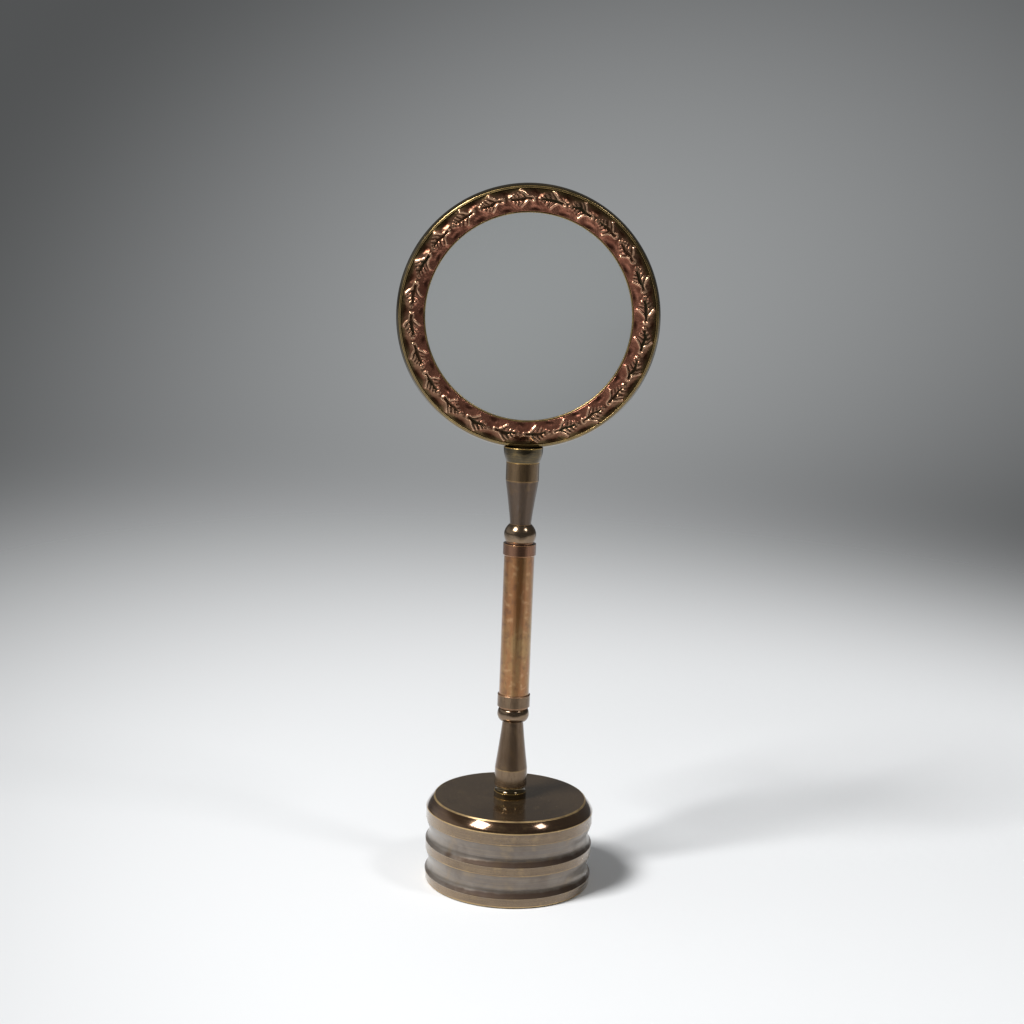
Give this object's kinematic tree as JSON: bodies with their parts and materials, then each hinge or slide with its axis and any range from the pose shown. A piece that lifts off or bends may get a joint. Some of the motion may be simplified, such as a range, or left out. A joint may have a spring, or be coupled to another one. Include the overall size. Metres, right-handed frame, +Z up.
{
  "type": "stand magnifier",
  "caption": "Round magnifying glass in a leaf-bordered hoop on a turned brass and copper handle that screws into a weighted drum base with two coves",
  "frame": {"origin": "the middle of the underside of the base pad, on the table", "axes": "+Z up along the handle; the leaf-bordered front of the hoop faces -Y; +X to the right as seen from the front"},
  "size_m": [0.095, 0.0624, 0.2591],
  "materials": {
    "antique_brass": "turned brass with a brown antique patina, worn to gold on its edges",
    "dark_bronze": "polished brass with a dark olive patina",
    "aged_copper": "drawn copper tube with an even brown tarnish",
    "pressed_copper": "pressed copper strip, pink on the high places and black in the recesses",
    "steel": "plain turned steel",
    "cast_iron": "raw casting, blackened",
    "green_felt": "green wool felt, glued",
    "glass": "clear polished glass"
  },
  "bodies": {
    "base": {"base_shell": "antique_brass", "base_sleeve": "antique_brass", "ballast_weight": "cast_iron", "ballast_washer": "steel", "ballast_nut": "steel", "base_plate": "antique_brass", "plate_screw_1": "steel", "plate_screw_2": "steel", "plate_screw_3": "steel", "base_pad": "green_felt"},
    "collar": {"foot_collar": "dark_bronze"},
    "hand_glass": {"tie_rod": "steel", "tie_nut": "steel", "lower_baluster": "antique_brass", "lower_bead": "antique_brass", "lower_ferrule": "dark_bronze", "handle_tube": "aged_copper", "upper_ferrule": "dark_bronze", "upper_bead": "antique_brass", "upper_baluster": "antique_brass", "top_collar": "dark_bronze", "hoop_spigot": "steel", "hoop": "dark_bronze", "leaf_border": "pressed_copper", "lens": "glass", "lens_retainer": "dark_bronze"}
  },
  "joints": [
    {"name": "handle_lift", "type": "slide", "parent": "base", "child": "collar", "axis": [0, 0, 1], "range_m": [0, 0.0105]},
    {"name": "handle_turn", "type": "hinge", "parent": "collar", "child": "hand_glass", "pos_m": [0, 0, 0.0326], "axis": [0, 0, 1], "range_deg": [0, 2970]}
  ],
  "couplings": [
    {"joint": "handle_lift", "follows": "handle_turn", "m_per_rad": 0.00020213}
  ]
}
